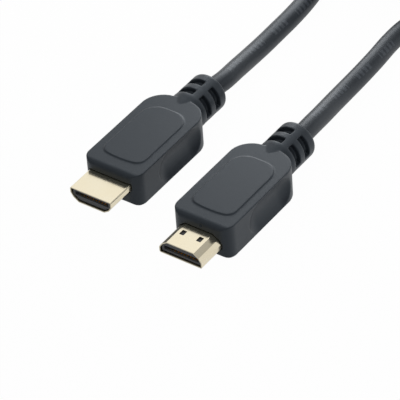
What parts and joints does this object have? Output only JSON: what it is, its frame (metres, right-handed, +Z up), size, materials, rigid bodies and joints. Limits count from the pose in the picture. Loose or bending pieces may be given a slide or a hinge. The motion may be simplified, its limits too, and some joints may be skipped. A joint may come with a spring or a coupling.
{
  "type": "digital audio video cable",
  "caption": "Round black cord with a moulded plug on each end: gold D-shaped shell, black grip with thumb scoops and slotted strain relief, spare length coiled and tied.",
  "frame": {"origin": "under the middle of the two plugs, on the surface that they lie on", "axes": "+X to the right from the wide-face-up plug to the narrow-face-up plug, +Y from the plugs' mouths towards the cord, +Z up"},
  "size_m": [0.0808, 0.2146, 0.0183],
  "materials": {
    "grip": "black moulded soft plastic, satin",
    "shell": "bright pale gold plating",
    "insulator": "black moulded plastic",
    "contact": "gold plated spring leaf",
    "jacket": "black soft plastic jacket, satin",
    "tie": "black woven hook and loop strap"
  },
  "bodies": {
    "root": {"left_grip": "grip", "left_shell": "shell", "left_insulator": "insulator", "left_contact_wide_1": "contact", "left_contact_wide_2": "contact", "left_contact_wide_3": "contact", "left_contact_wide_4": "contact", "left_contact_wide_5": "contact", "left_contact_wide_6": "contact", "left_contact_wide_7": "contact", "left_contact_wide_8": "contact", "left_contact_wide_9": "contact", "left_contact_wide_10": "contact", "left_contact_narrow_1": "contact", "left_contact_narrow_2": "contact", "left_contact_narrow_3": "contact", "left_contact_narrow_4": "contact", "left_contact_narrow_5": "contact", "left_contact_narrow_6": "contact", "left_contact_narrow_7": "contact", "left_contact_narrow_8": "contact", "left_contact_narrow_9": "contact", "right_grip": "grip", "right_shell": "shell", "right_insulator": "insulator", "right_contact_wide_1": "contact", "right_contact_wide_2": "contact", "right_contact_wide_3": "contact", "right_contact_wide_4": "contact", "right_contact_wide_5": "contact", "right_contact_wide_6": "contact", "right_contact_wide_7": "contact", "right_contact_wide_8": "contact", "right_contact_wide_9": "contact", "right_contact_wide_10": "contact", "right_contact_narrow_1": "contact", "right_contact_narrow_2": "contact", "right_contact_narrow_3": "contact", "right_contact_narrow_4": "contact", "right_contact_narrow_5": "contact", "right_contact_narrow_6": "contact", "right_contact_narrow_7": "contact", "right_contact_narrow_8": "contact", "right_contact_narrow_9": "contact", "left_cord": "jacket", "right_cord": "jacket", "cord_coil": "jacket", "coil_tie": "tie"}
  },
  "joints": []
}
